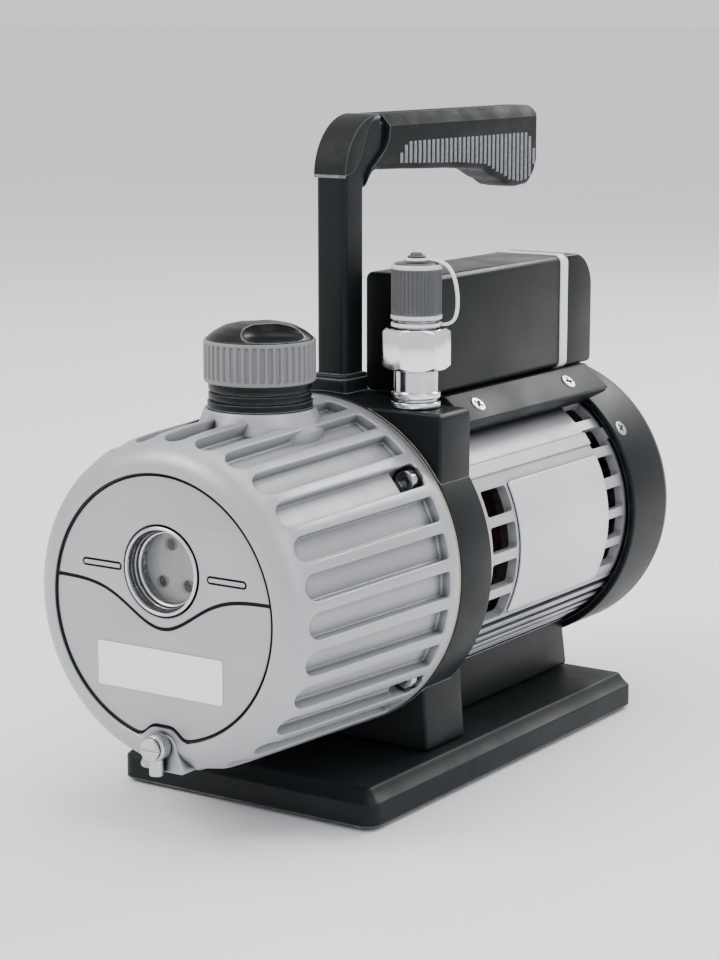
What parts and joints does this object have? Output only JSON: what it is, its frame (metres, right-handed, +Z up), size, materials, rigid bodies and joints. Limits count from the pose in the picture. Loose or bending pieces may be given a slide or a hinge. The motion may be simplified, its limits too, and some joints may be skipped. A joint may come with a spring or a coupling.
{
  "type": "vacuum pump",
  "caption": "Portable two stage rotary vane vacuum pump with finned oil case, motor, carrying handle and electrical box on a flat base.",
  "frame": {"origin": "on the floor, under the middle of the pump's outline box", "axes": "+Z up; the shaft runs along Y, with the oil case at -Y and the fan at +Y; the inlet and the electrical box are on the +X side"},
  "size_m": [0.133, 0.2954, 0.262],
  "materials": {
    "base_plastic": "fine textured black moulding",
    "black_casting": "black powder coat, fine orange peel",
    "black_plastic": "fine spark textured black",
    "soft_black": "matt soft grip",
    "silver_casting": "silver painted die casting",
    "silver_housing": "satin silver extrusion",
    "aluminium": "turned",
    "steel": "machined",
    "lamination_steel": "stacked laminations",
    "chrome": "polished plating",
    "brass": "turned",
    "cap_grey": "dark grey moulding",
    "white_plastic": "white moulding",
    "blank_plate": "blank satin foil plate",
    "winding": "varnished copper wire",
    "cast_iron": "machined cast iron",
    "fibre": "compressed fibre",
    "rubber": "moulded",
    "glass": "clear polished"
  },
  "bodies": {
    "root": {"base_plate": "base_plastic", "foot_front_left": "rubber", "foot_front_right": "rubber", "foot_rear_left": "rubber", "foot_rear_right": "rubber", "pump_frame": "black_casting", "case_gasket": "fibre", "oil_case": "silver_casting", "case_screw_1": "steel", "case_screw_2": "steel", "case_screw_3": "steel", "case_screw_4": "steel", "sight_glass_bezel": "aluminium", "sight_glass_lens": "glass", "sight_glass_reflector": "white_plastic", "drain_valve_body": "brass", "filler_neck": "black_plastic", "exhaust_filter": "fibre", "inlet_fitting": "chrome", "inlet_strainer": "brass", "inlet_check_spring": "steel", "cap_tether": "white_plastic", "motor_housing": "silver_housing", "nameplate": "blank_plate", "stator_core": "lamination_steel", "stator_winding": "winding", "front_bearing": "steel", "rear_bearing": "steel", "shaft_seal": "rubber", "rear_end_shield": "aluminium", "fan_cover": "black_plastic", "motor_foot": "black_casting", "box_saddle": "black_casting", "box_body": "black_plastic", "box_gasket": "white_plastic", "box_rear_cover": "black_plastic", "mains_inlet": "black_plastic", "run_capacitor": "aluminium", "handle_frame": "black_casting", "handle_grip": "soft_black", "stage_one_cylinder": "cast_iron", "stage_two_cylinder": "cast_iron", "pump_end_plate": "cast_iron"},
    "spindle": {"drive_shaft": "steel", "motor_rotor": "lamination_steel", "fan": "black_plastic", "pump_rotor": "steel", "vane_1_1": "fibre", "vane_1_2": "fibre", "vane_2_1": "fibre", "vane_2_2": "fibre"},
    "exhaust_cap_seat": {"exhaust_cap_seal": "rubber"},
    "exhaust_cap_body": {"exhaust_cap": "cap_grey"},
    "exhaust_check": {"exhaust_check_disc": "rubber"},
    "inlet_cap_seat": {"inlet_cap_seal": "rubber", "tether_button": "white_plastic"},
    "inlet_cap_body": {"inlet_cap": "cap_grey"},
    "inlet_check": {"inlet_check_poppet": "rubber"},
    "drain_knob": {"drain_valve_knob": "brass"},
    "rocker": {"power_rocker": "soft_black"}
  },
  "joints": [
    {"name": "shaft_spin", "type": "hinge", "parent": "root", "child": "spindle", "pos_m": [0, 0, 0.088], "axis": [0, 1, 0], "continuous": true},
    {"name": "exhaust_cap_lift", "type": "slide", "parent": "root", "child": "exhaust_cap_seat", "axis": [0, 0, 1], "range_m": [0, 0.00601]},
    {"name": "exhaust_cap_turn", "type": "hinge", "parent": "exhaust_cap_seat", "child": "exhaust_cap_body", "pos_m": [0, -0.0773, 0.17], "axis": [0, 0, 1], "range_deg": [0, 720]},
    {"name": "exhaust_check_lift", "type": "slide", "parent": "root", "child": "exhaust_check", "axis": [0, 0, 1], "range_m": [0, 0.0025]},
    {"name": "inlet_cap_lift", "type": "slide", "parent": "root", "child": "inlet_cap_seat", "axis": [0, 0, 1], "range_m": [0, 0.00636], "deforming": ["cap_tether"]},
    {"name": "inlet_cap_turn", "type": "hinge", "parent": "inlet_cap_seat", "child": "inlet_cap_body", "pos_m": [0.0375, -0.0263, 0.195], "axis": [0, 0, 1], "range_deg": [0, 1800]},
    {"name": "inlet_check_slide", "type": "slide", "parent": "root", "child": "inlet_check", "axis": [0, 0, -1], "range_m": [0, 0.0025], "stiffness_N_per_m": 40, "springref_m": -0.003, "deforming": ["inlet_check_spring"]},
    {"name": "drain_valve_turn", "type": "hinge", "parent": "root", "child": "drain_knob", "pos_m": [0, -0.1433, 0.037], "axis": [0, -1, 0], "range_deg": [0, 90]},
    {"name": "rocker_tilt", "type": "hinge", "parent": "root", "child": "rocker", "pos_m": [0.019, 0.1159, 0.1837], "axis": [1, 0, 0], "range_deg": [-12, 0]}
  ],
  "couplings": [
    {"joint": "exhaust_cap_lift", "follows": "exhaust_cap_turn", "m_per_rad": 0.00047746},
    {"joint": "inlet_cap_lift", "follows": "inlet_cap_turn", "m_per_rad": 0.00020213}
  ]
}
